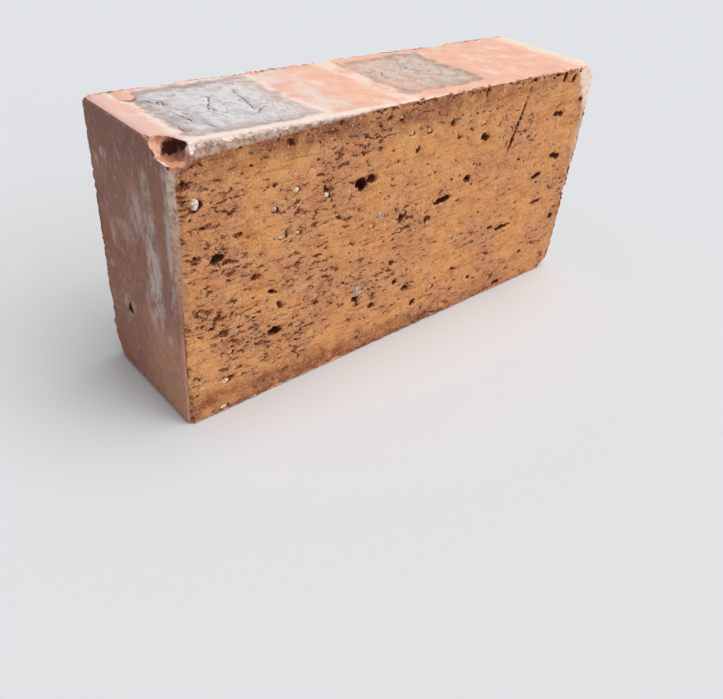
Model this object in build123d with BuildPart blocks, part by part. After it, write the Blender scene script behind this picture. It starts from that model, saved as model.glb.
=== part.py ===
from build123d import *
import math
import os
from typing import NamedTuple

# A solid clay brick, cut by wires from an extruded column and fired in one piece.
# It stands on a long narrow side. X runs along the brick, Y through it, Z up.
# The wires left two rough beds, which face -Y (front) and +Y (back).
# The die left the other four sides smooth. All sizes are in millimetres.

# The brick's format
length = 250.0
height = 120.0
thickness = 65.0

# Rounding that the die gave the column's four corners, seen on the front bed
foot_left_radius = 3.0
foot_right_radius = 3.0
head_right_radius = 2.5
head_left_radius = 3.0

# The worn front arris at the head: a flat that narrows from the left end to nothing
head_wear_run = 96.0
head_wear_depth = 5.0
head_wear_drop = 4.5

# The worn upright arris at the front left: a flat that narrows towards the foot
end_wear_top_width = 4.5
end_wear_foot_width = 2.2
end_wear_top_depth = 3.6

# The corner knocked off at the front left of the head: its outline seen from above, from the
# left end and the front, how deep it goes, the lean of its walls, and the hollow in its floor
head_break_outline = [
    (-5.0, -5.0),
    (-5.0, 13.0),
    (3.2, 16.2),
    (7.2, 13.2),
    (9.6, 6.4),
    (8.2, -5.0),
]
head_break_depth = 6.2
head_break_slope = 22.0
hollow_from_end = 6.2
hollow_from_front = 9.8
hollow_from_head = 4.6
hollow_radius = 3.6

# The corner rounded off at the front right of the head: a short steep flat on the arris of
# the end, and a long shallow one on the bed
head_corner_length = 7.0
head_corner_drop = 6.0
head_corner_depth = 14.0
bed_corner_length = 14.0
bed_corner_drop = 26.0
bed_corner_depth = 2.0

# The corner knocked off at the front right of the foot
foot_break_length = 7.0
foot_break_height = 5.5
foot_break_depth = 20.0

# The corner knocked off at the back left of the foot
back_break_length = 10.0
back_break_height = 14.0
back_break_depth = 8.0

# The scratch across the front bed
scratch_along = -60.0
scratch_height = -23.4
scratch_length = 41.0
scratch_width = 1.7
scratch_lean = 73.0

# A flake's outline, in shares of its length and width, its depth as a share of its width,
# and the slope at which it narrows on its way in
flake_outline = [
    (-0.50, 0.0),
    (-0.18, -0.50),
    (0.24, -0.40),
    (0.50, 0.06),
    (0.14, 0.50),
    (-0.28, 0.38),
]
flake_depth_share = 0.46
flake_slope = 36.0

# How high a chip sits over the foot, as a share of its width: the arris under it is whole
foot_chip_rise = 0.7

# The three-cornered hole in the left end
end_hole_from_back = 20.0
end_hole_height = 36.5
end_hole_width = 8.0
end_hole_tall = 9.0
end_hole_angle = 62.0
end_hole_depth = 2.2
end_hole_slope = 30.0


class Tear(NamedTuple):
    """A crumb that the wire tore out of a bed, pointed at both ends.

    along counts from the left end, or from the right end where it is below zero.
    up counts from the foot, or from the head where it is below zero.
    turn is the slope of its long axis in degrees.
    """

    along: float
    up: float
    long: float
    wide: float
    turn: float = 0.0


class Chip(NamedTuple):
    """A flake lost from an arris: along counts as it does in a tear."""

    along: float
    long: float
    wide: float


front_tears = [
    Tear(88.0, -31.2, 9.0, 6.4, -12),
    Tear(93.5, -30.0, 7.5, 4.6, 8),
    Tear(17.0, -45.3, 7.5, 4.2, 14),
    Tear(4.2, -12.8, 4.0, 3.4),
    Tear(76.2, -43.3, 4.0, 3.2, 10),
    Tear(42.0, 52.0, 5.5, 3.4, -24),
    Tear(46.6, 44.0, 8.0, 3.2, -40),
    Tear(19.8, 40.8, 7.0, 3.0, -10),
    Tear(44.2, 31.7, 9.0, 4.4, -16),
    Tear(90.0, 31.0, 6.5, 3.6, -38),
    Tear(86.7, 20.3, 5.0, 3.0, -6),
    Tear(100.8, 23.7, 5.5, 3.0),
    Tear(-117.2, 61.3, 6.0, 3.2),
    Tear(-108.3, -51.2, 14.0, 2.8, 4),
    Tear(-92.5, -43.8, 7.0, 4.4, -8),
    Tear(-84.2, -24.7, 8.0, 4.2, -14),
    Tear(-109.0, -13.8, 5.0, 2.6, -35),
    Tear(120.0, -22.4, 4.6, 2.8, 12),
    Tear(107.7, -7.4, 5.0, 2.6, -50),
    Tear(-88.2, -3.6, 4.8, 2.6, 80),
    Tear(-27.4, -3.6, 5.6, 3.8, 80),
    Tear(-19.2, -5.0, 5.6, 3.2, 60),
    Tear(-8.3, -17.0, 4.2, 2.8),
    Tear(26.0, -37.8, 6.4, 2.8, -16),
    Tear(-25.0, -22.5, 13.0, 4.0),
    Tear(-19.2, -46.3, 13.0, 4.0, -14),
    Tear(-32.5, -55.0, 9.0, 3.0, 4),
    Tear(-27.5, 48.7, 13.0, 2.2, 3),
    Tear(-54.2, 40.3, 15.0, 3.0, 3),
    Tear(-8.3, 35.0, 6.0, 4.2, 10),
    Tear(-31.7, 18.3, 5.0, 2.6),
    Tear(-119.2, 14.5, 6.0, 5.0, 40),
    Tear(-125.8, 25.5, 9.0, 4.2, -8),
    Tear(-90.8, 25.5, 7.5, 2.8, -10),
    Tear(115.0, 67.0, 6.5, 4.4, 30),
    Tear(34.7, 61.2, 7.0, 3.0),
    Tear(70.0, 64.2, 3.4, 3.0),
    Tear(112.0, 43.6, 6.4, 2.6, -6),
    Tear(115.8, 32.2, 4.4, 3.0, 40),
    Tear(-47.5, 43.3, 4.8, 2.6),
    Tear(-65.0, 42.6, 5.6, 2.4, -8),
    Tear(-76.3, 15.4, 5.0, 2.6, 14),
    Tear(57.4, 12.2, 3.4, 2.8),
    Tear(50.0, -6.3, 6.0, 3.2),
    Tear(21.3, 16.7, 6.0, 2.6),
]

back_tears = [
    Tear(31.0, -24.0, 8.0, 4.4, 6),
    Tear(57.0, 38.0, 6.0, 3.4, -18),
    Tear(84.0, -52.0, 12.0, 3.0, 3),
    Tear(109.0, 22.0, 7.0, 4.6, 22),
    Tear(121.0, -18.0, 5.0, 3.2, -30),
    Tear(-101.0, 51.0, 9.0, 5.2, -9),
    Tear(-78.0, -34.0, 6.0, 3.6, 12),
    Tear(-55.0, 17.0, 13.0, 2.8, -4),
    Tear(-37.0, -20.0, 7.0, 4.0, 35),
    Tear(-18.0, 44.0, 5.0, 3.0),
    Tear(17.0, 19.0, 10.0, 3.4, 5),
    Tear(69.0, -12.0, 5.5, 3.0, -12),
]

front_head_chips = [
    Chip(104.0, 7.0, 1.8),
    Chip(121.0, 6.0, 1.6),
    Chip(-108.5, 5.0, 2.0),
    Chip(-88.0, 5.0, 2.6),
    Chip(-74.0, 8.0, 1.8),
    Chip(-27.8, 6.5, 4.4),
]
front_foot_chips = [
    Chip(17.0, 6.0, 2.4),
    Chip(44.0, 12.0, 1.8),
    Chip(81.0, 10.0, 1.8),
    Chip(118.0, 14.0, 1.6),
    Chip(-104.0, 9.0, 2.2),
    Chip(-58.0, 4.0, 2.4),
    Chip(-49.0, 8.0, 4.4),
    Chip(-22.0, 10.0, 1.8),
]
back_head_chips = [Chip(28.0, 9.0, 2.0), Chip(64.0, 7.0, 2.4), Chip(-57.0, 15.0, 3.2)]
back_foot_chips = [Chip(38.0, 6.0, 2.0), Chip(101.0, 9.0, 3.0), Chip(-72.0, 6.0, 2.6)]

# Sides of the brick
left, right = -length / 2, length / 2
front, back = -thickness / 2, thickness / 2


def along_x(distance):
    """The X of a place that counts from the left end, or from the right one if below zero."""
    return (right if distance < 0 else left) + distance


def up_z(distance):
    """The Z of a place that counts from the foot, or from the head if below zero."""
    return (height if distance < 0 else 0) + distance


def break_plane(*corners):
    """The plane through three points, facing away from the middle of the brick."""
    first, second, third = (Vector(*corner) for corner in corners)
    normal = (second - first).cross(third - first)
    if normal.dot(first - Vector(0, 0, height / 2)) < 0:
        normal = -normal
    return Plane(origin=first, z_dir=normal)


def flake(place, inward, long, wide, turn=0.0):
    """The form of a lost crumb: a pointed hexagon that narrows as it goes in."""
    angle = math.radians(turn)
    opening = Plane(origin=place, x_dir=(math.cos(angle), 0, math.sin(angle)), z_dir=inward)
    with BuildPart() as form:
        with BuildSketch(opening):
            Polygon(*((u * long, v * wide) for u, v in flake_outline), align=None)
        extrude(amount=wide * flake_depth_share, taper=flake_slope)
    return form.part


# Everything that the wire tore out of the two beds
with BuildPart() as torn:
    for side, inward, tears in ((front, (0, 1, 0), front_tears), (back, (0, -1, 0), back_tears)):
        for tear in tears:
            place = (along_x(tear.along), side, up_z(tear.up))
            add(flake(place, inward, tear.long, tear.wide, tear.turn))
    scratch_place = (along_x(scratch_along), front, up_z(scratch_height))
    add(flake(scratch_place, (0, 1, 0), scratch_length, scratch_width, scratch_lean))

# Everything that was knocked off the arrises since
with BuildPart() as knocked:
    for side, level, rise, inward, chips in (
        (front, height, 0, (0, 1, -1), front_head_chips),
        (front, 0, foot_chip_rise, (0, 1, 0), front_foot_chips),
        (back, height, 0, (0, -1, -1), back_head_chips),
        (back, 0, foot_chip_rise, (0, -1, 0), back_foot_chips),
    ):
        for chip in chips:
            place = (along_x(chip.along), side, level + rise * chip.wide)
            add(flake(place, inward, chip.long, chip.wide))
    with BuildSketch(Plane(origin=(left, front, height), x_dir=(1, 0, 0), z_dir=(0, 0, 1))):
        Polygon(*head_break_outline, align=None)
    extrude(amount=-head_break_depth, taper=head_break_slope)
    with Locations((left + hollow_from_end, front + hollow_from_front, height - hollow_from_head)):
        Sphere(hollow_radius)

with BuildPart() as brick:
    # The column, as long as the wires cut it
    with BuildSketch(Plane.XZ.offset(front)):
        with BuildLine():
            FilletPolyline(
                (left, 0),
                (right, 0),
                (right, height),
                (left, height),
                radius=[foot_left_radius, foot_right_radius, head_right_radius, head_left_radius],
                close=True,
            )
        make_face()
    extrude(amount=thickness)

    # The two worn arrises at the front left
    head_wear = break_plane(
        (left, front + head_wear_depth, height),
        (left, front, height - head_wear_drop),
        (left + head_wear_run, front, height),
    )
    split(bisect_by=head_wear, keep=Keep.BOTTOM)
    end_wear = break_plane(
        (left + end_wear_top_width, front, height),
        (left, front + end_wear_top_depth, height),
        (left + end_wear_foot_width, front, 0),
    )
    split(bisect_by=end_wear, keep=Keep.BOTTOM)

    # The corner rounded off at the right
    head_corner = break_plane(
        (right - head_corner_length, front, height),
        (right, front, height - head_corner_drop),
        (right, front + head_corner_depth, height),
    )
    split(bisect_by=head_corner, keep=Keep.BOTTOM)
    bed_corner = break_plane(
        (right - bed_corner_length, front, height),
        (right, front, height - bed_corner_drop),
        (right, front + bed_corner_depth, height),
    )
    split(bisect_by=bed_corner, keep=Keep.BOTTOM)

    # The two broken corners at the foot
    foot_break = break_plane(
        (right - foot_break_length, front, 0),
        (right, front, foot_break_height),
        (right, front + foot_break_depth, 0),
    )
    split(bisect_by=foot_break, keep=Keep.BOTTOM)
    back_break = break_plane(
        (left, back, back_break_height),
        (left, back - back_break_depth, 0),
        (left + back_break_length, back, 0),
    )
    split(bisect_by=back_break, keep=Keep.BOTTOM)

    # The three-cornered hole, which narrows as it goes in
    hole_place = (left, back - end_hole_from_back, end_hole_height)
    with BuildSketch(Plane(origin=hole_place, x_dir=(0, -1, 0), z_dir=(-1, 0, 0))):
        Triangle(a=end_hole_width, b=end_hole_tall, C=end_hole_angle, align=(Align.CENTER, Align.CENTER))
    extrude(amount=-end_hole_depth, taper=end_hole_slope, mode=Mode.SUBTRACT)

    add(torn.part, mode=Mode.SUBTRACT)
    add(knocked.part, mode=Mode.SUBTRACT)

brick.part.label = "brick"

os.makedirs("parts", exist_ok=True)
export_step(brick.part, "parts/brick.step")
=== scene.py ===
import math
from functools import cached_property
from typing import NamedTuple

import bmesh
import bpy
from mathutils import Matrix, Vector, noise


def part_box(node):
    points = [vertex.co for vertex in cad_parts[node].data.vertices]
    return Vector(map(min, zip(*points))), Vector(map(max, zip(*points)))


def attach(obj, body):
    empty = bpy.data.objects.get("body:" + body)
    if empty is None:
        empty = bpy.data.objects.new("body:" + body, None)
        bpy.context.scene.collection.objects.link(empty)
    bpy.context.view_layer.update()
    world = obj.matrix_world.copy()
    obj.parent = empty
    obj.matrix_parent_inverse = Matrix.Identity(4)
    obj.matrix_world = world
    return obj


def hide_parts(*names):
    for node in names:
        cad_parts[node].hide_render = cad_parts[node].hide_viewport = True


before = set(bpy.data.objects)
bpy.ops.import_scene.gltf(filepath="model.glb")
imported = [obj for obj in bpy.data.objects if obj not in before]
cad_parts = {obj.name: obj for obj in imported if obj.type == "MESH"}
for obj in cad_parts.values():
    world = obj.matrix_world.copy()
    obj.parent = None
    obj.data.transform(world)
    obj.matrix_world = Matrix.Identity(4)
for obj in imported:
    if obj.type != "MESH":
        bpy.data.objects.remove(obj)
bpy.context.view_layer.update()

# A solid wire-cut clay brick. The frame is in metres; patterns on the brick are in millimetres.
MM = 0.001
brick_low, brick_high = (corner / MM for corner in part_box("brick"))
LEFT, FRONT, FOOT = brick_low
RIGHT, BACK, HEAD = brick_high
LENGTH, THICKNESS, HEIGHT = brick_high - brick_low
MIDDLE = (brick_low + brick_high) / 2

# Where the photograph was taken from
CAMERA_PLACE = Vector((-0.23087, -0.23459, 0.20842))
CAMERA_HEADING = math.radians(45.106)
CAMERA_PITCH = math.radians(-36.146)
CAMERA_ROLL = math.radians(5.955)
PICTURE_WIDTH = 723
FOCAL_PIXELS = 709.6
SENSOR_WIDTH = 36.0

# How finely the brick is remade before its relief, and how many triangles are kept
SKIN_CELL = 0.55 * MM
SKIN_TRIANGLES = 192_000

# Each face's patterns are drawn this far out, so that no mark shows on two faces
FAR = 800.0

# Half the depth of an oval that is drawn on a face, and half the width over which the pattern of
# one face gives way to the next at an arris
OVAL_DEPTH = 9.0
TURN = 0.25


class Mark(NamedTuple):
    """A crumb lost from the front bed, placed from the left end and the foot, turned in degrees."""

    along: float
    up: float
    long: float
    wide: float
    turn: float
    deep: float


class Grain(NamedTuple):
    """A grain of lime, clay or grit in the front bed, placed from the left end and the foot."""

    along: float
    up: float
    wide: float
    tall: float


class Smudge(NamedTuple):
    """A pale streak on the left end, placed from the back and the foot."""

    from_back: float
    up: float
    wide: float
    tall: float
    strength: float


class Spot(NamedTuple):
    """A coloured spot in the broken corner, placed from the left end, the front and the foot."""

    along: float
    through: float
    up: float
    halves: tuple
    tint: tuple


pits = [
    Mark(222.6, 116.2, 5.6, 3.0, 80, 1.0),
    Mark(230.8, 114.8, 5.0, 2.6, 60, 0.9),
    Mark(87.2, 88.2, 6.0, 2.6, -14, 1.0),
    Mark(17.4, 74.5, 5.0, 1.8, 14, 0.9),
    Mark(43.2, 51.4, 4.0, 1.6, -24, 0.9),
    Mark(43.6, 31.6, 4.6, 1.6, -16, 0.9),
    Mark(141.7, 68.8, 13.0, 2.0, 4, 0.9),
    Mark(163.3, 81.4, 4.6, 1.8, 80, 0.6),
    Mark(146.2, 99.6, 5.0, 1.6, -62, 0.6),
    Mark(169.8, 113.8, 3.0, 1.6, 0, 0.6),
    Mark(173.2, 108.2, 6.0, 1.6, 12, 0.6),
    Mark(214.8, 112.4, 6.0, 1.6, 16, 0.7),
    Mark(222.4, 101.4, 4.2, 1.6, 20, 0.7),
    Mark(217.5, 65.2, 9.0, 2.2, 8, 0.9),
    Mark(222.5, 48.7, 13.0, 1.6, 3, 0.5),
    Mark(195.8, 40.3, 15.0, 2.0, 3, 0.7),
    Mark(182.4, 48.2, 3.0, 1.8, 20, 0.6),
    Mark(230.8, 20.3, 7.4, 2.0, 0, 0.5),
    Mark(128.4, 27.2, 4.4, 1.6, -10, 0.6),
    Mark(185.6, 27.0, 5.4, 1.8, -12, 0.6),
    Mark(30.0, 47.2, 12.0, 1.6, 8, 0.6),
    Mark(85.0, 61.8, 3.6, 1.8, -10, 0.8),
    Mark(95.0, 58.8, 11.0, 1.3, 2, 0.5),
    Mark(30.6, 57.0, 5.4, 2.0, -14, 0.6),
    Mark(31.8, 80.0, 4.8, 1.8, 10, 0.7),
    Mark(20.8, 86.4, 4.0, 1.6, 20, 0.6),
    Mark(40.8, 112.2, 2.6, 1.8, 0, 0.8),
    Mark(14.6, 113.2, 18.0, 1.3, 4, 0.5),
    Mark(3.4, 13.4, 5.4, 1.8, 12, 0.8),
    Mark(52.5, 23.8, 5.0, 1.6, 4, 0.6),
    Mark(55.2, 15.0, 6.0, 1.6, -42, 0.7),
    Mark(93.3, 7.4, 4.2, 2.6, 0, 0.5),
    Mark(111.7, 23.0, 3.2, 1.6, 0, 0.6),
    Mark(140.4, 46.6, 5.0, 1.7, 0, 0.7),
    Mark(155.8, 5.8, 4.4, 2.0, 0, 0.6),
    Mark(136.6, 14.8, 3.6, 1.6, 0, 0.6),
    Mark(68.6, 91.0, 4.6, 2.0, -64, 0.8),
    Mark(163.8, 36.8, 12.0, 1.2, -6, 0.5),
    Mark(157.0, 42.0, 4.0, 1.8, 0, 0.5),
]

scratch = Mark(190.0, 96.6, 40.0, 1.5, 73, 0.7)

grains = [
    Grain(8.8, 98.8, 2.9, 4.4),
    Grain(53.0, 94.2, 3.0, 2.4),
    Grain(68.6, 88.6, 2.2, 1.8),
    Grain(18.3, 15.8, 3.2, 1.9),
    Grain(42.6, 88.6, 2.2, 1.8),
    Grain(16.6, 2.6, 4.2, 1.8),
]

lumps = [
    Grain(95.4, 67.6, 3.0, 2.0),
    Grain(142.4, 20.6, 3.2, 2.2),
    Grain(174.0, 100.4, 2.0, 2.0),
    Grain(162.6, 102.8, 3.4, 1.8),
    Grain(107.0, 114.2, 1.6, 1.4),
    Grain(114.2, 106.2, 2.2, 1.7),
    Grain(125.2, 105.4, 2.6, 1.7),
    Grain(113.4, 60.2, 3.2, 1.4),
    Grain(118.6, 99.0, 1.6, 1.4),
    Grain(46.6, 75.8, 3.6, 1.5),
    Grain(54.4, 75.6, 2.2, 1.4),
    Grain(115.4, 68.8, 1.6, 1.5),
    Grain(106.4, 95.4, 2.2, 1.4),
    Grain(189.4, 61.2, 2.0, 1.2),
    Grain(20.8, 30.0, 2.4, 1.2),
    Grain(200.0, 99.4, 2.6, 1.5),
]

pebbles = [Grain(90.6, 35.6, 5.4, 5.4), Grain(99.8, 71.8, 3.2, 3.6)]

# How deep the middle of a grain lies in the bed, how far its face stays under the bed's plane,
# and its half width as a share of what shows
GRAIN_SUNK = 1.1
GRAIN_CLEAR = 0.12
GRAIN_SPREAD = 0.62

# The hollow round a grain, shifted to one side so that the bed's finish paints its depth dark as a
# crescent of shade: how far it is shifted, how much wider and taller it is, and how deep
HOLLOW_ALONG = 0.9
HOLLOW_UP = -0.5
HOLLOW_WIDER = 1.4
HOLLOW_TALLER = 0.8
HOLLOW_DEPTH = 2.2

# Two opposite corners of each crust on the head, from the left end and the front
FIRST_CRUST = ((12, 6), (70, 62))
SECOND_CRUST = ((118, 9), (171, 60))

# The cracks in the crusts, point by point, from the left end and the front
crust_cracks = [
    [(17.6, 50.3), (19.6, 47.0), (22.8, 45.4), (21.2, 41.4)],
    [(20.4, 50.7), (22.6, 47.4), (19.8, 44.4), (24.3, 41.8)],
    [(40.2, 46.8), (41.4, 43.4), (38.7, 37.9), (35.0, 33.2), (34.2, 30.6)],
    [(35.0, 33.2), (36.0, 27.4), (38.4, 24.4)],
    [(54.6, 47.0), (53.1, 37.7), (51.4, 29.8), (49.5, 23.2)],
    [(49.0, 20.0), (52.5, 23.2), (55.2, 24.6)],
    [(20.6, 34.5), (21.8, 27.4), (21.9, 20.8)],
    [(23.6, 32.6), (24.4, 26.8)],
    [(25.1, 18.6), (26.6, 13.2)],
    [(14.9, 20.0), (14.1, 14.1)],
    [(123.1, 45.5), (126.8, 37.2), (129.2, 30.6), (131.9, 25.2), (135.4, 16.7)],
    [(129.2, 30.6), (127.2, 35.0), (130.4, 39.4)],
    [(146.6, 40.2), (148.2, 35.0), (149.6, 25.9)],
    [(142.2, 40.0), (146.6, 40.2)],
    [(119.4, 19.3), (122.7, 15.0)],
]
CRACK_WIDTH = 0.65
CRACK_DEPTH = 0.45

# The round pat of clay beside the first crust, from the left end and the front
PAT_PLACE = (13.4, 58.6)
PAT_HALVES = (3.7, 6.8)

# The hole in the left end
HOLE_FROM_BACK = 20.0
HOLE_UP = 37.0
HOLE_HALVES = (4.4, 5.2)

smudges = [
    Smudge(46.5, 66.0, 10.0, 52.0, 1.0),
    Smudge(42.5, 51.0, 9.0, 24.0, 0.85),
    Smudge(47.0, 78.0, 7.0, 30.0, 0.9),
    Smudge(38.0, 86.0, 16.0, 20.0, 0.6),
    Smudge(45.0, 101.0, 7.0, 12.0, 0.6),
    Smudge(60.5, 78.0, 5.0, 44.0, 0.85),
    Smudge(60.0, 100.0, 4.0, 34.0, 0.6),
    Smudge(14.0, 67.0, 6.0, 12.0, 0.6),
    Smudge(13.0, 102.0, 5.0, 5.0, 0.6),
    Smudge(5.5, 95.0, 3.0, 8.0, 0.6),
    Smudge(24.0, 74.0, 18.0, 9.0, 0.4),
    Smudge(8.0, 52.0, 6.0, 4.0, 0.4),
    Smudge(54.5, 38.5, 3.0, 4.0, 0.5),
]

# The broken corner's hole with its walls painted dark as their shadow, its torn clay and its pale rims
# painted as highlight, each over the ones before
corner_spots = [
    Spot(7.2, 12.4, 115.0, (3.3, 3.6, 3.1), (48, 12, 4)),
    Spot(8.7, 9.0, 117.2, (3.4, 4.0, 3.4), (40, 10, 6)),
    Spot(8.4, 9.4, 116.6, (1.6, 0.6, 2.4), (96, 62, 60)),
    Spot(8.2, 11.4, 112.8, (2.4, 1.6, 1.2), (206, 148, 124)),
    Spot(6.0, 12.8, 112.4, (1.4, 2.0, 1.1), (214, 150, 118)),
    Spot(8.2, 6.2, 115.4, (1.8, 1.4, 1.6), (178, 122, 104)),
    Spot(2.4, 13.9, 116.6, (3.0, 3.0, 3.6), (250, 200, 166)),
    Spot(9.0, 3.6, 118.4, (2.7, 2.4, 2.7), (255, 240, 232)),
    Spot(3.0, 6.6, 113.6, (3.0, 2.6, 2.0), (232, 156, 116)),
    Spot(1.0, 7.0, 113.4, (1.4, 4.6, 1.6), (244, 220, 212)),
    Spot(4.4, 15.2, 119.8, (2.2, 1.2, 0.9), (130, 60, 38)),
    Spot(1.0, 3.0, 113.0, (0.9, 0.9, 0.9), (70, 50, 44)),
    Spot(0.0, 13.8, 114.4, (2.0, 2.0, 2.0), (74, 52, 50)),
]


def face_place(along=None, through=None, up=None, side=1):
    """A place on a face, in the frame of the patterns. What isn't given is the face's own side."""
    given = (along, through, up)
    origin = (LEFT, FRONT, FOOT)
    return tuple(side * FAR if g is None else o + g for g, o in zip(given, origin))


def worn_plane(*corners):
    """The outward normal and the distance of a worn flat, from three places on its border."""
    first, second, third = (brick_low + Vector(corner) for corner in corners)
    outward = (second - first).cross(third - first).normalized()
    if outward.dot(first - MIDDLE) < 0:
        outward.negate()
    return outward, outward.dot(first)


# The worn flats at the front of the head, of the left end and of the right corner, as the solid has them
HEAD_WEAR = worn_plane((0, 5.0, HEIGHT), (0, 0, HEIGHT - 4.5), (96.0, 0, HEIGHT))
END_WEAR = worn_plane((4.5, 0, HEIGHT), (0, 3.6, HEIGHT), (2.2, 0, 0))
CORNER_WEAR = worn_plane((LENGTH - 14.0, 0, HEIGHT), (LENGTH, 0, HEIGHT - 26.0), (LENGTH, 2.0, HEIGHT))

# Where the scuffed finish of a worn flat begins and where it is full, in front of its plane
WEAR_REACH = (-0.95, -0.6)


class Wire:
    """One output of a node. A sum or product of wires adds the Math nodes that work it out."""

    def __init__(self, recipe, socket):
        self.recipe, self.socket = recipe, socket

    def out(self, name):
        """Another output of the same node."""
        return Wire(self.recipe, self.socket.node.outputs[name])

    def math(self, operation, *others):
        return self.recipe.node("ShaderNodeMath", {"operation": operation}, [self, *others])

    def __add__(self, other):
        return self.math("ADD", other)

    def __sub__(self, other):
        return self.math("SUBTRACT", other)

    def __rsub__(self, other):
        return self.recipe.node("ShaderNodeMath", {"operation": "SUBTRACT"}, [other, self])

    def __mul__(self, other):
        return self.math("MULTIPLY", other)

    def __truediv__(self, other):
        return self.math("DIVIDE", other)

    __radd__ = __add__
    __rmul__ = __mul__

    def size(self):
        return self.math("ABSOLUTE")

    def least(self, other):
        return self.math("MINIMUM", other)

    def most(self, other):
        return self.math("MAXIMUM", other)

    def rise(self, start, end):
        """0 before start, 1 after end and smooth between them. It falls where end is the lower."""
        sockets = {"Value": self, "From Min": start, "From Max": end}
        if start > end:
            sockets.update({"From Min": end, "From Max": start, "To Min": 1.0, "To Max": 0.0})
        return self.recipe.node("ShaderNodeMapRange", {"interpolation_type": "SMOOTHSTEP"}, sockets)


class Recipe:
    """A node tree that is written as expressions, for a relief or for a finish."""

    def __init__(self, tree):
        self.tree = tree

    def node(self, kind, settings=None, sockets=(), output=0):
        """Adds a node: its settings first, then the values or wires of its sockets."""
        node = self.tree.nodes.new(kind)
        for name, value in (settings or {}).items():
            setattr(node, name, value)
        named = sockets.items() if isinstance(sockets, dict) else enumerate(sockets)
        for name, value in named:
            if isinstance(value, Wire):
                self.tree.links.new(value.socket, node.inputs[name])
            else:
                node.inputs[name].default_value = value
        return Wire(self, node.outputs[output]) if node.outputs else node

    def point(self, x, y, z):
        return self.node("ShaderNodeCombineXYZ", {}, [x, y, z])

    def vector(self, operation, *sockets, output="Vector"):
        return self.node("ShaderNodeVectorMath", {"operation": operation}, sockets, output)

    def scaled(self, vector, factor):
        sockets = {"Vector": vector, "Scale": factor}
        return self.node("ShaderNodeVectorMath", {"operation": "SCALE"}, sockets)

    def noise(self, point, grain, detail=2.0, roughness=0.5, output="Fac"):
        """Soft blotches about grain millimetres across, from 0 to 1."""
        sockets = {"Vector": point, "Scale": 1 / grain, "Detail": detail, "Roughness": roughness}
        return self.node("ShaderNodeTexNoise", {}, sockets, output)

    def stirred(self, point, grain, reach, detail):
        """The point moved about by up to that reach, so that outlines on it turn ragged."""
        stir = self.vector("SUBTRACT", self.noise(point, grain, detail, 0.6, "Color"), (0.5, 0.5, 0.5))
        return self.vector("MULTIPLY_ADD", stir, (2 * reach,) * 3, point)

    def oval(self, point, middle, halves, turn=0.0):
        """How far a point is from the middle of an oval, turned about Z, whose outline is at 1."""
        if turn:
            sockets = {"Vector": point, "Center": middle, "Angle": math.radians(turn)}
            point = self.node("ShaderNodeVectorRotate", {"rotation_type": "Z_AXIS"}, sockets)
        shares = tuple(1 / half for half in halves)
        shift = tuple(-m / half for m, half in zip(middle, halves))
        return self.vector("LENGTH", self.vector("MULTIPLY_ADD", point, shares, shift), output="Value")

    def blend(self, first, second, factor):
        """The second colour over the first, as strong as factor says."""
        return self.node("ShaderNodeMix", {"data_type": "RGBA"}, {0: factor, 6: first, 7: second}, 2)


def paint(red, green, blue):
    """A colour as a colour picker gives it, 0 to 255, for a shader's socket."""
    shares = (red / 255, green / 255, blue / 255)
    return (*(s / 12.92 if s <= 0.04045 else ((s + 0.055) / 1.055) ** 2.4 for s in shares), 1)


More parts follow.
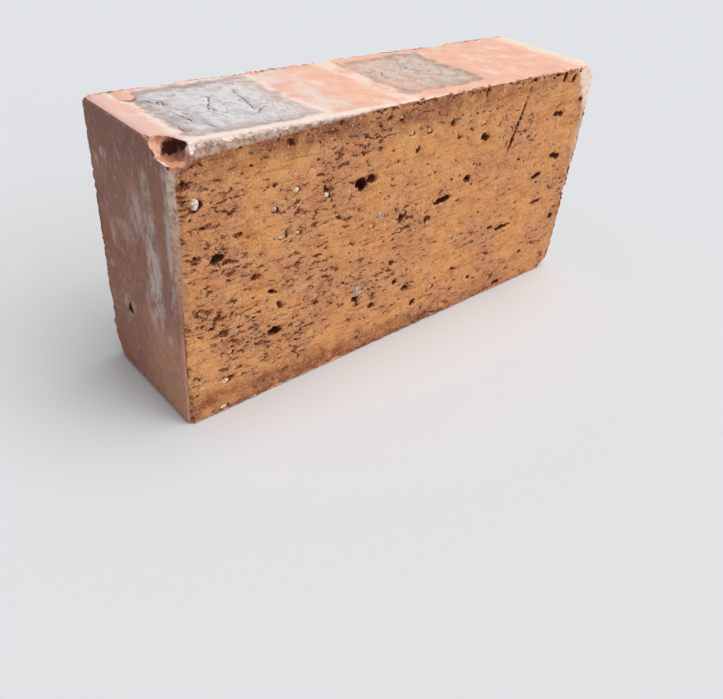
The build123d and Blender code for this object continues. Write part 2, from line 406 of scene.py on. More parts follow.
class Brick:
    """What the relief and the finish both ask about a point of the brick, in millimetres."""

    def __init__(self, recipe, place):
        self.recipe = r = recipe
        parts = r.node("ShaderNodeSeparateXYZ", {}, [r.scaled(place, 1 / MM)])
        self.x, self.y, self.z = parts.out("X"), parts.out("Y"), parts.out("Z")
        self.point = r.point(self.x, self.y, self.z)
        self.from_left, self.from_right = self.x - LEFT, RIGHT - self.x
        self.from_front, self.from_back = self.y - FRONT, BACK - self.y
        self.from_foot, self.from_head = self.z - FOOT, HEAD - self.z
        self.from_bed = self.from_front.least(self.from_back)
        self.from_end = self.from_left.least(self.from_right)
        self.from_narrow = self.from_foot.least(self.from_head)
        self.from_skin = self.from_end.least(self.from_narrow)
        self.on_bed = (self.from_skin - self.from_bed).rise(-TURN, TURN)
        self.on_end = (self.from_narrow - self.from_end).rise(-TURN, TURN) * (1 - self.on_bed)
        self.on_narrow = (self.from_end - self.from_narrow).rise(-TURN, TURN) * (1 - self.on_bed)
        self.on_head = (self.z - MIDDLE.z).math("GREATER_THAN", 0.0) * self.on_narrow
        self.from_arris = self.from_bed.most(self.from_skin)
        self.under = self.from_bed.least(self.from_skin)
        # The point with its depth under its own face taken out
        self.flat = r.point(
            self.aside(self.x, MIDDLE.x, self.on_end),
            self.aside(self.y, MIDDLE.y, self.on_bed),
            self.aside(self.z, MIDDLE.z, self.on_narrow),
        )

    def aside(self, coordinate, middle, owned):
        """A coordinate with its own face's depth taken out: there it is FAR to that side."""
        return coordinate * (1 - owned) + (coordinate - middle).math("SIGN") * owned * FAR

    @cached_property
    def ragged(self):
        """The flat point, stirred so that what is drawn on it has ragged outlines."""
        return self.recipe.stirred(self.flat, 2.2, 1.0, 3.0)

    @cached_property
    def rough_point(self):
        """The point itself, stirred, for ragged outlines that run over an arris."""
        return self.recipe.stirred(self.point, 2.0, 0.9, 3.0)

    @cached_property
    def blotch(self):
        """Soft unevenness, from 0 to 1."""
        return self.recipe.noise(self.flat, 24.0, 3.0)

    def beyond(self, plane):
        """How far the point is outside a worn flat."""
        outward, distance = plane
        return self.recipe.vector("DOT_PRODUCT", self.point, tuple(outward), output="Value") - distance

    @cached_property
    def head_worn(self):
        """The scuffed flat between the front bed and the head."""
        return self.beyond(HEAD_WEAR).rise(*WEAR_REACH)

    @cached_property
    def end_worn(self):
        """The upper part of the flat, where it is scuffed; below it the arris is only dulled."""
        upper = (self.from_foot + self.blotch * 20.0).rise(56.0, 84.0)
        edge = (self.from_left + self.blotch * 2.0).rise(4.4, 3.4)
        return self.beyond(END_WEAR).rise(*WEAR_REACH) * upper * edge

    @cached_property
    def crumbled(self):
        """Where the arris between the front bed and the head crumbled away."""
        reach = self.from_front.most(self.from_head)
        bite = self.recipe.noise(self.point, 5.5, 4.0, 0.62).rise(0.46, 0.64) * 3.4 - reach
        return bite.rise(0.0, 0.6) * self.from_left.rise(80.0, 100.0) * self.from_right.rise(3.0, 8.0)

    @cached_property
    def corner_worn(self):
        """The broken front right corner of the head."""
        return self.beyond(CORNER_WEAR).rise(-1.0, -0.55) * self.from_head.rise(28.0, 20.0)

    @cached_property
    def broken(self):
        """The rough faces of the broken corner."""
        ball = self.recipe.oval(self.point, (LEFT + 3.6, FRONT + 8.5, HEAD - 2.5), (8.5, 11.0, 7.5))
        return ball.rise(1.12, 0.95) * self.under.rise(0.62, 1.0)

    @cached_property
    def worn(self):
        """All the worn flats together."""
        return self.head_worn.most(self.end_worn).most(self.corner_worn)

    def near(self, along, through, up, reach):
        """How far the point is from a place on the solid, measured from its low corner."""
        return self.recipe.oval(self.rough_point, (LEFT + along, FRONT + through, FOOT + up), reach)

    @cached_property
    def drag(self):
        """The height on a bed, wandering as the cutting wire did."""
        return self.z + self.blotch * 4.0

    @cached_property
    def side(self):
        """A number that keeps the two beds' patterns apart."""
        return self.y.math("SIGN") * 90

    @cached_property
    def wire_lines(self):
        """The fine lines that the cutting wire dragged along the bed."""
        r = self.recipe
        return r.noise(r.point(self.x * 0.055, self.side, self.drag), 1.3, 3.0, 0.6)

    @cached_property
    def tearing(self):
        """How near the wire came to tearing the bed: in patches, longer along it than across."""
        r = self.recipe
        bent = r.stirred(r.point(self.x * 0.44, self.side, self.drag), 1.6, 0.9, 2.0)
        crowd = self.blotch * 0.36 + self.from_left * (-0.04 / LENGTH)
        return r.noise(bent, 2.3, 4.0, 0.68) + crowd

    @cached_property
    def rags(self):
        """Where the wire tore the bed."""
        return self.tearing.rise(0.745, 0.805)

    @cached_property
    def nicks(self):
        """Short dark nicks between the tears."""
        r = self.recipe
        bent = r.point(self.x * 0.5 + 300.0, self.side, self.drag)
        crowd = self.blotch * 0.3 + self.from_left * (-0.035 / LENGTH)
        return (r.noise(bent, 1.0, 2.0, 0.62) + crowd).rise(0.79, 0.86)

    def dots(self, spacing, largest, share, seed):
        """Small spots of many sizes, in that share of the cells: 1 in the middle of each."""
        r = self.recipe
        shifted = r.vector("MULTIPLY_ADD", self.ragged, (0.7, 1, 1), (seed, seed, seed))
        sockets = {"Vector": shifted, "Scale": 1 / spacing}
        cell = r.node("ShaderNodeTexVoronoi", {}, sockets, "Distance")
        luck = r.node("ShaderNodeSeparateXYZ", {}, [cell.out("Color")])
        radius = luck.out("X").rise(1 - share, 1.0) * (largest / spacing)
        return ((radius - cell) * (spacing / largest)).rise(0.0, 0.3)

    @cached_property
    def pinholes(self):
        """Pinholes in the beds: 1 in the middle of each."""
        return self.dots(3.6, 0.75, 0.5, 3.0)

    @cached_property
    def cracks(self):
        """The cracks in the crusts on the head: 1 in the middle of each."""
        r, nearest = self.recipe, None
        for start, end in crack_runs():
            run, across = end[0] - start[0], end[1] - start[1]
            middle = face_place((start[0] + end[0]) / 2, (start[1] + end[1]) / 2)
            halves = (math.hypot(run, across) / 2 + 0.8, CRACK_WIDTH / 2, OVAL_DEPTH)
            turn = -math.degrees(math.atan2(across, run))
            reach = r.oval(self.ragged, middle, halves, turn)
            nearest = reach if nearest is None else nearest.least(reach)
        return nearest.rise(1.3, 0.3)

    @cached_property
    def crust_point(self):
        """The flat point, stirred widely, so that the crusts have wandering outlines."""
        r = self.recipe
        return r.node("ShaderNodeSeparateXYZ", {}, [r.stirred(self.flat, 11.0, 7.0, 5.0)])

    def crust(self, low, high):
        """How far inside a crust on the head the point is, in millimetres."""
        middle = [(a + b) / 2 for a, b in zip(low, high)]
        halves = [(b - a) / 2 for a, b in zip(low, high)]
        off_x = (self.crust_point.out("X") - (LEFT + middle[0])).size() - halves[0]
        off_y = (self.crust_point.out("Y") - (FRONT + middle[1])).size() - halves[1]
        return (1 - self.on_head) * -99.0 - off_x.most(off_y)

    @cached_property
    def crusts(self):
        """How far inside the two crusts the point is."""
        return self.crust(*FIRST_CRUST), self.crust(*SECOND_CRUST)

    @cached_property
    def pat(self):
        """The round pat of clay on the head, beside the first crust: its outline is at 1."""
        return self.recipe.oval(self.ragged, face_place(*PAT_PLACE), (*PAT_HALVES, OVAL_DEPTH))


def crack_runs():
    """Each straight run of each crack, as its two ends."""
    return [run for crack in crust_cracks for run in zip(crack, crack[1:])]


def hollow_round(grain):
    """The mark of the hollow that a grain lies in."""
    along, up = grain.along + HOLLOW_ALONG, grain.up + HOLLOW_UP
    return Mark(along, up, grain.wide + HOLLOW_WIDER, grain.tall + HOLLOW_TALLER, 0, HOLLOW_DEPTH)


def draw_marks():
    """The bed's marks and the head's cracks as loose edges, in the frame of the patterns."""
    strokes = []
    for mark in [*pits, *map(hollow_round, [*grains, *lumps]), scratch]:
        turn, reach = math.radians(mark.turn), max(mark.long - mark.wide, 0.5) / 2
        run, rise = reach * math.cos(turn), reach * math.sin(turn)
        ends = [face_place(mark.along + s * run, None, mark.up + s * rise, -1) for s in (-1, 1)]
        strokes.append((*ends, mark.wide / 2, mark.deep))
    for start, end in crack_runs():
        strokes.append((face_place(*start), face_place(*end), CRACK_WIDTH / 2 + 0.25, CRACK_DEPTH))
    mesh = bpy.data.meshes.new("marks")
    places = [place for stroke in strokes for place in stroke[:2]]
    mesh.from_pydata(places, [(2 * i, 2 * i + 1) for i in range(len(strokes))], [])
    for name, column in (("half_width", 2), ("deep", 3)):
        values = mesh.attributes.new(name, "FLOAT", "EDGE").data
        for value, stroke in zip(values, strokes):
            value.value = stroke[column]
    drawing = bpy.data.objects.new("marks", mesh)
    bpy.context.scene.collection.objects.link(drawing)
    return drawing


def marked_depth(r, b, drawing):
    """How deep the drawn marks are at the point: deepest along their middle lines."""
    lines = r.node("GeometryNodeObjectInfo", {}, {"Object": drawing}, "Geometry")
    sockets = {"Geometry": lines, "Sample Position": b.ragged}
    off = r.node("GeometryNodeProximity", {"target_element": "EDGES"}, sockets, "Distance")
    nearest = r.node("GeometryNodeSampleNearest", {"domain": "EDGE"}, sockets)
    values = []
    for name in ("half_width", "deep"):
        value = r.node("GeometryNodeInputNamedAttribute", {"data_type": "FLOAT"}, {"Name": name})
        settings = {"data_type": "FLOAT", "domain": "EDGE"}
        sockets = {"Geometry": lines, "Value": value, "Index": nearest}
        values.append(r.node("GeometryNodeSampleIndex", settings, sockets))
    half_width, deep = values
    return (1 - off / half_width).rise(0.0, 0.75) * deep


def bed_depth(r, b, roughness, hole_depth):
    """How far the relief of a bed lies under its plane, in millimetres."""
    uneven = r.noise(b.flat, 4.4, 4.0, 0.64).rise(0.34, 0.68)
    flat = 0.14 + b.blotch * 0.3 + uneven * 0.55 + b.wire_lines * 0.14
    return flat + b.rags * roughness + b.pinholes * hole_depth + b.nicks * 0.2


def skin_depth(r, b):
    """How far the relief of a smooth side lies under its plane."""
    flat = 0.06 + b.blotch * 0.16 + r.noise(b.flat, 3.0, 3.0) * 0.1
    first, second = b.crusts
    scaly = r.noise(b.ragged, 4.0, 4.0, 0.65) * 0.3 * first.most(second).rise(0, 4)
    dent = b.pat.rise(1.35, 1.0) * b.pat.rise(0.85, 1.0) * 0.3
    return flat + (0.3 + scaly + dent - b.pat.rise(1.0, 0.6) * 0.3) * b.on_head


def refill(r, b):
    """How much of a tear is still filled with torn clay, which makes its outline ragged."""
    return b.from_bed.rise(0.55, 1.3) * r.noise(b.point, 1.9, 3.0, 0.66).rise(0.44, 0.62) * 0.6


def wear_depth(r, b):
    """What the arrises and the broken corner lost besides."""
    chewed = r.noise(b.point, 3.2, 4.0, 0.66).rise(0.42, 0.62) * b.from_arris.rise(2.6, 0.1)
    chewed = chewed * (b.blotch.rise(0.42, 0.58) * 1.4 + 0.3)
    bitten = b.blotch.rise(0.52, 0.62) * r.noise(b.point, 8.0, 3.0).rise(0.52, 0.6)
    bitten = bitten * b.from_arris.rise(3.0, 0.6) * 1.1
    scuffed = b.worn * r.noise(b.rough_point, 2.4, 4.0, 0.66).rise(0.35, 0.75) * 0.55
    hollow = b.near(6.0, 10.0, 117.0, (2.7, 3.9, 3.2)).rise(1.2, 0.3) * 2.4
    rough = b.broken * r.noise(b.point, 2.4, 3.0, 0.66).rise(0.3, 0.7) * 1.3
    arrises = (chewed + bitten + b.crumbled * 1.1) * (1 - b.worn)
    return arrises + scuffed + (hollow + rough) * b.under.rise(0.3, 0.9)


def new_tree(name, inputs):
    """A geometry tree with its named inputs, and the wires that bring them in."""
    tree = bpy.data.node_groups.new(name, "GeometryNodeTree")
    tree.interface.new_socket("Geometry", in_out="OUTPUT", socket_type="NodeSocketGeometry")
    tree.interface.new_socket("Geometry", in_out="INPUT", socket_type="NodeSocketGeometry")
    for title, kind in inputs.items():
        tree.interface.new_socket(title, in_out="INPUT", socket_type="NodeSocket" + kind)
    recipe = Recipe(tree)
    return tree, recipe, recipe.node("NodeGroupInput")


def finish_tree(r, geometry, material):
    """Ends a tree: real geometry, with its material."""
    realized = r.node("GeometryNodeRealizeInstances", {}, {"Geometry": geometry})
    dressed = r.node("GeometryNodeSetMaterial", {}, {"Geometry": realized, "Material": material})
    r.node("NodeGroupOutput", {}, [dressed])


def relief_tree(material):
    """The tree that gives the brick its relief, which goes in from the solid's surface."""
    inputs = {"Bed roughness": "Float", "Hole depth": "Float", "Sideways": "Float", "Marks": "Object"}
    tree, r, given = new_tree("brick_relief", inputs)
    b = Brick(r, r.node("GeometryNodeInputPosition"))

    inner = b.on_bed * b.from_skin.rise(1.5, 4.0) * given.out("Sideways")
    stir = r.vector("SUBTRACT", r.noise(b.flat, 2.4, 3.0, 0.6, "Color"), (0.5, 0.5, 0.5))
    stir = r.scaled(r.vector("MULTIPLY", stir, (2, 0, 2)), inner * MM)
    bent = r.node("GeometryNodeSetPosition", {}, {"Geometry": given, "Offset": stir})

    bed = bed_depth(r, b, given.out("Bed roughness"), given.out("Hole depth"))
    bed_share = b.on_bed * (1 - b.worn)
    depth = (bed - refill(r, b)) * bed_share + skin_depth(r, b) * (1 - bed_share) + wear_depth(r, b)
    depth = depth + marked_depth(r, b, given.out("Marks"))
    inward = r.scaled(r.node("GeometryNodeInputNormal"), depth * -MM)
    moved = r.node("GeometryNodeSetPosition", {}, {"Geometry": bent, "Offset": inward})
    finish_tree(r, moved, material)
    return tree


def crumb_tree(material):
    """The tree that strews crumbs over the beds of a skin that it is given."""
    inputs = {"Crumbs per square metre": "Float", "Crumb size": "Float", "Seed": "Int"}
    tree, r, given = new_tree("bed_crumbs", inputs)
    b = Brick(r, r.node("GeometryNodeInputPosition"))
    seed, size = given.out("Seed"), given.out("Crumb size")

    open_bed = b.on_bed * b.from_skin.rise(2.0, 3.0) * (1 - b.worn) * b.from_bed.rise(1.3, 1.0)
    crowd = b.blotch.rise(0.3, 0.7) * 0.8 + 0.2
    density = open_bed * crowd * given.out("Crumbs per square metre")
    room = b.from_bed.rise(0.0, 0.75)
    sockets = {"Mesh": given, "Density": density, "Seed": seed}
    strewn = r.node("GeometryNodeDistributePointsOnFaces", {}, sockets, "Points")
    shape = r.node("GeometryNodeMeshIcoSphere", {}, {"Radius": 0.5, "Subdivisions": 1}, "Mesh")
    sizes = {"Min": (0.3, 0.3, 0.3), "Max": (1.0, 0.8, 1.0), "Seed": seed}
    stretch = r.node("FunctionNodeRandomValue", {"data_type": "FLOAT_VECTOR"}, sizes, "Value")
    turns = {"Min": (0.0, 0.0, 0.0), "Max": (math.tau, math.tau, math.tau), "Seed": seed}
    turn = r.node("FunctionNodeRandomValue", {"data_type": "FLOAT_VECTOR"}, turns, "Value")
    scale = r.scaled(stretch, size * room)
    sockets = {"Points": strewn, "Instance": shape, "Rotation": turn, "Scale": scale}
    finish_tree(r, r.node("GeometryNodeInstanceOnPoints", {}, sockets, "Instances"), material)
    return tree


def give_tree(piece, tree, **values):
    """Puts the tree on the piece as a modifier, with its inputs set by their names."""
    modifier = piece.modifiers.new(tree.name, "NODES")
    modifier.node_group = tree
    for item in tree.interface.items_tree:
        key = item.name.lower().replace(" ", "_")
        if item.in_out == "INPUT" and key in values:
            modifier[item.identifier] = values[key]
    return modifier


def keep_inside(piece):
    """Brings the few points that came to lie outside the brick's box back to it."""
    for vert in piece.data.vertices:
        sides = zip(vert.co, brick_low, brick_high)
        vert.co = [min(max(c, low * MM), high * MM) for c, low, high in sides]


def settle(piece):
    """Turns what the modifiers made into the piece's plain mesh."""
    made = bpy.data.meshes.new_from_object(piece.evaluated_get(bpy.context.evaluated_depsgraph_get()))
    piece.modifiers.clear()
    piece.data = made
    return piece


def make_material(name):
    """An empty material and the recipe to fill it with."""
    material = bpy.data.materials.new(name)
    material.use_nodes = True
    material.node_tree.nodes.clear()
    return material, Recipe(material.node_tree)


def coat(r, colour, roughness, height=None, gloss=0.25):
    """A finish of one colour, rough to the touch where its height in millimetres is given."""
    sockets = {"Base Color": colour, "Roughness": roughness, "Specular IOR Level": gloss}
    if height is not None:
        bump = {"Height": height, "Distance": MM, "Strength": 1.0}
        sockets["Normal"] = r.node("ShaderNodeBump", {}, bump)
    return r.node("ShaderNodeBsdfPrincipled", {}, sockets)


def bed_finish(r, b):
    """Sandy ochre clay, dragged and torn by the wire, and scorched towards the arrises, with painted
    highlights round its tears and along its right edge, and painted shade in its hollows.
    """
    grit = r.noise(b.flat, 0.6, 3.0, 0.75)
    colour = r.blend(paint(238, 167, 104), paint(228, 156, 108), b.blotch.rise(0.36, 0.64))
    dragged = r.point(b.x * 0.22, b.side, b.drag)
    streak = r.noise(dragged, 4.2, 5.0, 0.65)
    patchy = r.noise(b.ragged, 6.5, 4.0, 0.65)
    colour = r.blend(colour, paint(190, 110, 66), streak.rise(0.5, 0.72) * 0.5)
    colour = r.blend(colour, paint(240, 190, 140), streak.rise(0.47, 0.3) * 0.4)
    colour = r.blend(colour, paint(196, 118, 72), patchy.rise(0.5, 0.66) * 0.5)
    colour = r.blend(colour, paint(238, 184, 132), patchy.rise(0.46, 0.32) * 0.4)
    scorch = b.from_narrow.rise(17.0, 3.0) * r.noise(dragged, 11.0, 2.0).rise(0.26, 0.54)
    scorch = scorch * b.from_left.rise(260.0, 110.0)
    low_corner = b.from_foot.rise(40.0, 20.0) * b.from_left.rise(110.0, 30.0)
    scorch = (scorch * (low_corner * 0.6 + 1)).least(1.0)
    scorched = r.blend(paint(150, 82, 56), paint(140, 78, 52), b.from_foot.rise(40.0, 70.0))
    colour = r.blend(colour, scorched, scorch * (patchy.rise(0.36, 0.6) * 0.5 + 0.4))
    colour = r.blend(colour, paint(150, 86, 50), b.wire_lines.rise(0.53, 0.72) * 0.38)
    # A painted highlight round the tears, where torn crumbs stand up; the bump raises it a little too.
    highlight_rim = b.tearing.rise(0.69, 0.73) * (1 - b.rags)
    colour = r.blend(colour, paint(246, 196, 146), highlight_rim * 0.3)
    colour = r.blend(colour, paint(134, 66, 36), b.rags * 0.8)
    colour = r.blend(colour, paint(98, 46, 26), b.nicks * 0.75)
    colour = r.scaled(colour, grit.rise(0.22, 0.78) * 0.44 + 0.78)
    sandy = r.noise(b.flat, 1.15, 3.0, 0.7)
    colour = r.blend(colour, paint(255, 226, 190), sandy.rise(0.58, 0.7) * 0.5)
    colour = r.blend(colour, paint(76, 34, 18), b.pinholes * 0.9)
    crumbly = r.noise(b.ragged, 1.9, 3.0, 0.7)
    inner = b.from_skin.rise(0.6, 2.0) * b.from_left.rise(3.8, 5.2)
    # The deeper the relief lies under the bed, the darker it is painted: the torn clay's own brown at
    # first, then painted shade, near black, in the deepest hollows.
    sunk = b.from_bed + (crumbly - 0.5) * 1.8
    colour = r.blend(colour, paint(128, 60, 30), sunk.rise(0.85, 1.35) * inner * 0.88)
    deep = b.from_bed.rise(0.7, 1.4) * 0.55 + b.from_bed.rise(1.4, 2.4) * 0.35
    hollow_shade = r.blend(paint(84, 42, 24), paint(40, 16, 10), b.from_bed.rise(1.5, 2.4))
    colour = r.blend(colour, hollow_shade, (deep + crumbly).rise(0.98, 1.1) * inner * 0.92)
    # A painted highlight along the bed's right edge, high up.
    right_edge_highlight = b.from_right.rise(5.5, 1.0) * b.from_foot.rise(40.0, 90.0) * patchy.rise(0.2, 0.45)
    colour = r.blend(colour, paint(246, 214, 192), right_edge_highlight * 0.9)
    height = grit * 0.3 + sandy * 0.35 + crumbly * 0.9 - b.wire_lines * 0.2
    height = height + highlight_rim * 0.15 - b.rags * 0.3 - b.nicks * 0.3 - b.pinholes * 0.35
    return coat(r, colour, 0.92, height)


def crust_colour(r, b, under, inside, edge_paint, middle_paint):
    """A grey crust from the kiln: darker at its border and pale in its middle."""
    mottled = r.noise(b.ragged, 5.0, 5.0, 0.68)
    edge = r.blend(edge_paint, middle_paint, mottled.rise(0.5, 0.62) * 0.7)
    middle = r.blend(middle_paint, edge_paint, mottled.rise(0.48, 0.6) * 0.6)
    colour = r.blend(edge, middle, (inside + mottled * 12.0).rise(8.0, 14.0))
    return r.blend(under, colour, inside.rise(-1.2, 1.8) * mottled.rise(0.1, 0.34))


def head_colour(r, b):
    """Pale peach skin with a white bloom round two grey crusts, painted highlights along its front and
    right edges, and a painted shadow by the pat.
    """
    peach, pink, cream = paint(252, 200, 170), paint(246, 188, 172), paint(255, 230, 210)
    slanted = r.point(b.x * 0.8 + b.y * 0.5, b.y * 0.7 - b.x * 0.35, b.on_head * FAR)
    smear = r.noise(r.stirred(slanted, 12.0, 3.0, 3.0), 9.0, 5.0, 0.66)
    colour = r.blend(peach, pink, smear.rise(0.44, 0.62) * 0.9)
    colour = r.blend(colour, cream, smear.rise(0.46, 0.32) * 0.75)
    colour = r.blend(colour, paint(242, 202, 190), b.from_left.rise(13.0, 9.0) * 0.7)
    haze = b.from_left.rise(60, 71) * b.from_left.rise(100, 78)
    colour = r.blend(colour, paint(245, 222, 212), haze * smear.rise(0.62, 0.4))
    strip = b.from_left.rise(106, 112) * b.from_left.rise(122, 116)
    colour = r.blend(colour, cream, strip * smear.rise(0.62, 0.42) * 0.9)
    # A painted highlight along the head's right edge.
    colour = r.blend(colour, paint(255, 234, 214), b.from_right.rise(19.0, 4.0) * 0.95)

    first, second = b.crusts
    colour = r.blend(colour, paint(255, 236, 224), first.rise(-4.5, -0.6) * smear.rise(0.7, 0.45) * 0.9)
    grey = crust_colour(r, b, colour, first, paint(194, 172, 166), paint(228, 225, 224))
    colour = r.blend(colour, grey, b.from_left.rise(76.0, 50.0) * 0.5 + 0.5)
    tanned = b.from_left.rise(112.0, 160.0) * 0.36 + 0.28
    veiled = crust_colour(r, b, colour, second, paint(188, 156, 140), paint(222, 206, 194))
    colour = r.blend(colour, veiled, r.noise(b.flat, 7.0, 4.0, 0.6).rise(0.36, 0.54) * 0.4 + tanned)
    veins = (r.noise(b.ragged, 10.0, 3.0, 0.6) - 0.5).size().rise(0.02, 0.0) * b.blotch.rise(0.44, 0.54)
    burnt = b.from_left.rise(36.0, 16.0).most(b.from_back.rise(16.0, 6.0)) * first.rise(0.0, 4.0)
    colour = r.blend(colour, paint(150, 130, 132), burnt * smear.rise(0.44, 0.6) * 0.6)
    crusty = first.most(second).rise(1.0, 4.0)
    colour = r.blend(colour, paint(120, 108, 106), b.cracks.most(veins * crusty * 0.55) * 0.8)
    specks = b.dots(4.2, 0.6, 0.4, 57.0) * first.rise(0.0, 3.0)
    colour = r.blend(colour, paint(120, 104, 102), specks * 0.7)

    colour = r.blend(colour, paint(248, 190, 162), b.pat.rise(1.02, 0.8))
    # A painted shadow in a crescent on the pat's front side.
    pat_shadow = b.pat.rise(1.3, 1.05) * b.pat.rise(0.86, 1.0) * (b.from_front - 55.0).rise(3.0, -3.0)
    colour = r.blend(colour, paint(120, 74, 62), pat_shadow * 0.8)
    # A painted highlight along the head's worn front edge.
    rim_highlight = b.beyond(HEAD_WEAR).rise(-3.6, -2.4) * b.from_left.rise(6.0, 10.0)
    return r.blend(colour, paint(255, 234, 222), rim_highlight * 0.85)


def end_colour(r, b):
    """Mauve brown skin, smoother and browner at the foot, with a whitish streak, and its hole painted
    near black inside as shade.
    """
    mauve, brown, grey = paint(158, 114, 102), paint(172, 124, 104), paint(210, 194, 186)
    uneven = r.noise(b.flat, 11.0, 5.0, 0.64)
    colour = r.blend(mauve, brown, uneven.rise(0.4, 0.62))
    colour = r.blend(colour, paint(166, 102, 82), b.blotch.rise(0.52, 0.66) * 0.6)
    warm = b.from_foot.rise(52.0, 34.0) * b.from_front.rise(44.0, 16.0)
    colour = r.blend(colour, paint(200, 148, 120), warm * 0.8)
    colour = r.blend(colour, paint(142, 104, 94), b.from_head.rise(30.0, 4.0) * 0.7)
    mottled = r.noise(b.ragged, 3.4, 5.0, 0.7)
    colour = r.blend(colour, paint(128, 88, 74), mottled.rise(0.5, 0.66) * 0.42)
    colour = r.blend(colour, paint(206, 164, 142), mottled.rise(0.46, 0.32) * 0.36)
    upright = r.vector("MULTIPLY", b.flat, (1.0, 1.0, 0.4))
    wispy = r.noise(r.stirred(upright, 7.0, 3.0, 3.0), 3.4, 5.0, 0.72)
    colour = r.blend(colour, grey, wispy.rise(0.57, 0.72) * b.from_foot.rise(20.0, 60.0) * 0.55)
    soft = r.stirred(b.flat, 7.0, 2.6, 4.0)
    streaks = None
    for smudge in smudges:
        middle = face_place(None, THICKNESS - smudge.from_back, smudge.up, -1)
        reach = r.oval(soft, middle, (OVAL_DEPTH, smudge.wide * 0.62, smudge.tall * 0.62))
        share = reach.rise(1.15, 0.4) * smudge.strength
        streaks = share if streaks is None else streaks.most(share)
    colour = r.blend(colour, grey, streaks * (wispy.rise(0.38, 0.56) * 0.9 + 0.06))
    colour = r.blend(colour, paint(212, 190, 180), b.dots(4.0, 0.6, 0.3, 77.0) * 0.5)
    hole_middle = face_place(None, THICKNESS - HOLE_FROM_BACK, HOLE_UP, -1)
    hole = r.oval(b.ragged, hole_middle, (OVAL_DEPTH, *HOLE_HALVES))
    colour = r.blend(colour, paint(206, 178, 166), hole.rise(1.3, 0.9) * wispy.rise(0.4, 0.5) * 0.55)
    # Where the hole lies deep it is painted near black: painted shade.
    return r.blend(colour, paint(48, 24, 20), b.from_end.rise(0.6, 1.1) * hole.rise(1.3, 1.1) * 0.95)


def foot_colour(r, b):
    """Plain orange skin, a little scuffed."""
    uneven = r.noise(b.flat, 16.0, 4.0, 0.6)
    colour = r.blend(paint(232, 160, 124), paint(240, 176, 146), uneven.rise(0.4, 0.66))
    return r.blend(colour, paint(206, 172, 158), b.blotch.rise(0.55, 0.66) * 0.6)


def skin_finish(r, b):
    """The four smooth sides, with a painted highlight along their arrises."""
    colour = r.blend(foot_colour(r, b), head_colour(r, b), b.on_head)
    colour = r.blend(colour, end_colour(r, b), b.on_end)
    fine = r.noise(b.flat, 1.0, 4.0, 0.7)
    # A pale, patchy painted highlight along the arrises.
    arris_highlight = b.from_arris.rise(1.5, 0.5) * fine.rise(0.36, 0.56)
    colour = r.blend(colour, paint(240, 202, 182), arris_highlight * 0.6)
    colour = r.scaled(colour, fine.rise(0.25, 0.75) * 0.16 + 0.92)
    return coat(r, colour, 0.9, fine * 0.36 + b.blotch * 0.2 - b.cracks * b.on_head * 0.35)


def worn_finish(r, b):
    """The worn flats, the crumbled arris and the broken corner."""
    mottled = r.noise(b.rough_point, 2.2, 4.0, 0.7)
    low, high = b.from_foot.rise(20.0, 90.0), b.from_foot.rise(70.0, 110.0)
    pale = r.blend(r.blend(paint(188, 132, 98), paint(206, 162, 138), low), paint(214, 188, 174), high)
    end_band = r.blend(pale, paint(160, 120, 100), mottled.rise(0.46, 0.64) * 0.7)
    head_band = r.blend(paint(190, 164, 148), paint(146, 112, 94), mottled.rise(0.42, 0.6))
    # A painted highlight along the top of the head's worn band.
    rim_highlight = b.from_head + (mottled - 0.5) * 2.0
    head_band = r.blend(head_band, paint(236, 214, 202), rim_highlight.rise(1.5, 0.8) * 0.8)
    colour = r.blend(end_band, head_band, b.head_worn * b.from_left.rise(3.0, 6.0))
    dark = r.noise(b.rough_point, 2.4, 3.0, 0.6).rise(0.62, 0.68)
    colour = r.blend(colour, paint(78, 46, 36), dark * 0.85)
    # Towards the right end the worn flats are painted cream, as a highlight.
    cream = r.blend(paint(255, 230, 212), paint(240, 206, 190), mottled.rise(0.42, 0.6))
    colour = r.blend(colour, cream, b.from_right.rise(40.0, 30.0))
    torn = r.blend(paint(206, 142, 104), paint(110, 62, 40), mottled.rise(0.44, 0.6))
    colour = r.blend(colour, torn, b.crumbled)

    clay = r.blend(paint(230, 170, 140), paint(204, 138, 108), mottled.rise(0.4, 0.62))
    colour = r.blend(colour, clay, b.broken)
    # The hole and its walls are painted dark as their shadow, and the rims pale as a highlight.
    for spot in corner_spots:
        share = b.near(spot.along, spot.through, spot.up, spot.halves).rise(1.2, 0.85)
        colour = r.blend(colour, paint(*spot.tint), share * 0.92)
    return coat(r, colour, 0.92, mottled * 0.5)


def fired_clay():
    """The brick's own finish: torn beds, smooth sides, and what is worn or broken."""
    material, r = make_material("fired_clay")
    b = Brick(r, r.node("ShaderNodeTexCoord", {}, {}, "Object"))
    whole = r.node("ShaderNodeMixShader", {}, [b.on_bed, skin_finish(r, b), bed_finish(r, b)])
    damaged = b.worn.most(b.broken).most(b.crumbled)
    r.node("ShaderNodeOutputMaterial", {}, {
        "Surface": r.node("ShaderNodeMixShader", {}, [damaged, whole, worn_finish(r, b)]),
    })
    return material


def crumb_clay():
    """The clay of the loose crumbs, each of its own tone."""
    material, r = make_material("crumb_clay")
    place = r.scaled(r.node("ShaderNodeTexCoord", {}, {}, "Object"), 1 / MM)
    tone = r.noise(place, 3.0, 1.0)
    colour = r.blend(paint(196, 122, 78), paint(230, 168, 120), tone.rise(0.38, 0.62))
    colour = r.blend(colour, paint(238, 194, 152), r.noise(place, 2.3, 1.0).rise(0.66, 0.72))
    r.node("ShaderNodeOutputMaterial", {}, {"Surface": coat(r, colour, 0.85)})
    return material


def burnt_grain(name, light, shade):
    """Burnt lime, clay or grit of two tones, mottled and a little rough."""
    material, r = make_material(name)
    place = r.scaled(r.node("ShaderNodeTexCoord", {}, {}, "Object"), 1 / MM)
    mottled = r.noise(place, 1.6, 3.0, 0.65)
    colour = r.blend(light, shade, mottled.rise(0.42, 0.64))
    r.node("ShaderNodeOutputMaterial", {}, {"Surface": coat(r, colour, 0.8, mottled * 0.6)})
    return material


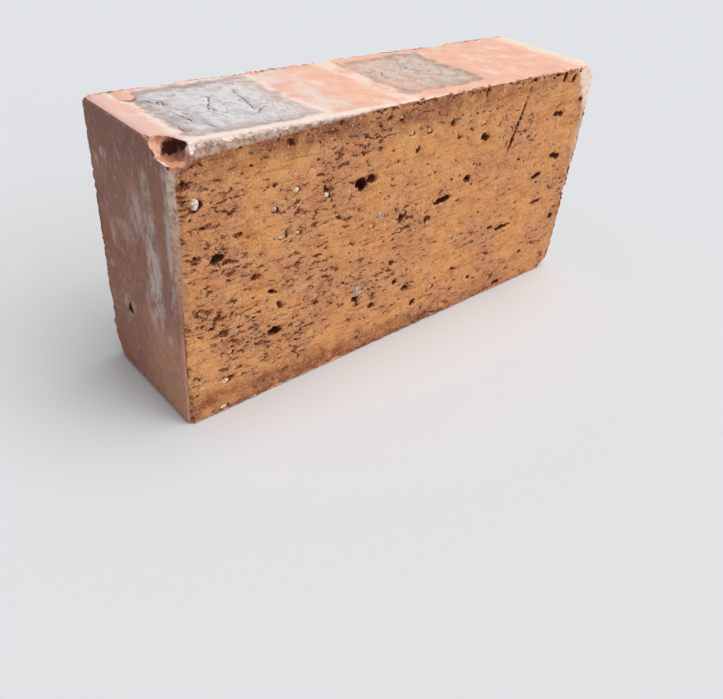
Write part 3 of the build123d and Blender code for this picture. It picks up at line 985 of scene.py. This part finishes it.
def make_skin(material):
    """The brick's skin: the CAD solid remade in fine cells, given its relief, then thinned."""
    # A CAD mesh is loose triangles, so a copy is merged first
    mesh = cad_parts["brick"].data.copy()
    mesh.materials.clear()
    edit = bmesh.new()
    edit.from_mesh(mesh)
    bmesh.ops.remove_doubles(edit, verts=edit.verts, dist=0.001 * MM)
    edit.to_mesh(mesh)
    edit.free()
    skin = bpy.data.objects.new("wire_cut_brick", mesh)
    bpy.context.scene.collection.objects.link(skin)
    remesh = skin.modifiers.new("cells", "REMESH")
    remesh.mode, remesh.voxel_size = "VOXEL", SKIN_CELL
    remesh.use_smooth_shade = True
    marks = draw_marks()
    give_tree(skin, relief_tree(material), bed_roughness=0.5, hole_depth=0.6, sideways=0.9, marks=marks)
    settle(skin)
    bpy.data.objects.remove(marks)
    thin = skin.modifiers.new("thin", "DECIMATE")
    thin.ratio = SKIN_TRIANGLES / sum(len(p.vertices) - 2 for p in skin.data.polygons)
    keep_inside(settle(skin))
    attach(skin, "root")
    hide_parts("brick")
    return skin


def make_crumbs(skin, material):
    """Crumbs of clay that stick to the beds."""
    crumbs = bpy.data.objects.new("bed_crumbs", skin.data.copy())
    bpy.context.scene.collection.objects.link(crumbs)
    tree = crumb_tree(material)
    give_tree(crumbs, tree, crumbs_per_square_metre=60_000.0, crumb_size=1.15 * MM, seed=4)
    keep_inside(settle(crumbs))
    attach(crumbs, "root")


def make_grains(name, places, material):
    """Knobbly grains in the front bed, a little proud of its relief but under its plane."""
    edit = bmesh.new()
    for grain in places:
        middle = Vector((LEFT + grain.along, FRONT + GRAIN_SUNK, FOOT + grain.up))
        made = bmesh.ops.create_icosphere(edit, subdivisions=3, radius=1.0)["verts"]
        halves = (grain.wide * GRAIN_SPREAD, GRAIN_SUNK - GRAIN_CLEAR, grain.tall * GRAIN_SPREAD)
        for vert in made:
            lump = 1 - 0.5 * abs(noise.noise(vert.co * 1.8 + middle))
            vert.co = (middle + Vector(c * half * lump for c, half in zip(vert.co, halves))) * MM
    mesh = bpy.data.meshes.new(name)
    edit.to_mesh(mesh)
    edit.free()
    mesh.shade_smooth()
    mesh.materials.append(material)
    piece = bpy.data.objects.new(name, mesh)
    bpy.context.scene.collection.objects.link(piece)
    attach(piece, "root")


def make_camera():
    """The camera, at the photograph's viewing angle."""
    camera = bpy.data.objects.new("camera", bpy.data.cameras.new("camera"))
    bpy.context.scene.collection.objects.link(camera)
    camera.data.sensor_width = SENSOR_WIDTH
    camera.data.lens = FOCAL_PIXELS / PICTURE_WIDTH * SENSOR_WIDTH
    camera.data.clip_start = 0.01
    pitch = Matrix.Rotation(math.pi / 2 + CAMERA_PITCH, 4, "X")
    aim = Matrix.Rotation(-CAMERA_HEADING, 4, "Z") @ pitch
    roll = Matrix.Rotation(CAMERA_ROLL, 4, "Z")
    camera.matrix_world = Matrix.Translation(CAMERA_PLACE) @ aim @ roll
    bpy.context.scene.camera = camera


# The colour of the floor and of the surroundings, and how strongly these light the brick, where
# what the camera sees of them has strength 1
PALE = paint(226, 228, 230)
FILL_LIGHT = 0.4


def make_floor():
    """A plain pale floor, wide enough to fill every view from above."""
    material, r = make_material("pale_floor")
    r.node("ShaderNodeOutputMaterial", {}, {"Surface": coat(r, PALE, 0.9, gloss=0.1)})
    mesh = bpy.data.meshes.new("floor")
    reach = 8.0
    corners = [(-reach, -reach, 0), (reach, -reach, 0), (reach, reach, 0), (-reach, reach, 0)]
    mesh.from_pydata(corners, [], [(0, 1, 2, 3)])
    mesh.materials.append(material)
    floor = bpy.data.objects.new("floor", mesh)
    bpy.context.scene.collection.objects.link(floor)


def make_lamp(name, towards, strength, softness):
    """A far soft light that shines on the brick from the way that towards points."""
    lamp = bpy.data.objects.new(name, bpy.data.lights.new(name, "SUN"))
    lamp.data.energy, lamp.data.angle = strength, math.radians(softness)
    lamp.rotation_euler = Vector(towards).to_track_quat("Z", "Y").to_euler()
    bpy.context.scene.collection.objects.link(lamp)


def make_light():
    """Soft light from above and from the right, in plain pale surroundings."""
    make_lamp("light_from_above", (0.25, -0.15, 1.0), 1.7, 50.0)
    make_lamp("light_from_the_right", (0.45, -0.9, 0.7), 0.9, 50.0)
    world = bpy.data.worlds.new("surroundings")
    bpy.context.scene.world = world
    world.use_nodes = True
    r = Recipe(world.node_tree)
    rays = r.node("ShaderNodeLightPath", {}, {}, "Is Camera Ray")
    seen = rays.most(rays.out("Is Glossy Ray")).most(rays.out("Is Transmission Ray"))
    back = world.node_tree.nodes["Background"]
    back.inputs["Color"].default_value = PALE
    r.tree.links.new((seen * (1 - FILL_LIGHT) + FILL_LIGHT).socket, back.inputs["Strength"])


bpy.context.scene.view_settings.view_transform = "Standard"
make_camera()
make_floor()
make_light()
skin = make_skin(fired_clay())
make_crumbs(skin, crumb_clay())
make_grains("lime_grains", grains, burnt_grain("lime", paint(244, 230, 206), paint(188, 154, 120)))
make_grains("clay_lumps", lumps, burnt_grain("clay", paint(246, 202, 160), paint(190, 124, 82)))
make_grains("grit_pebbles", pebbles, burnt_grain("grit", paint(206, 188, 172), paint(150, 124, 108)))
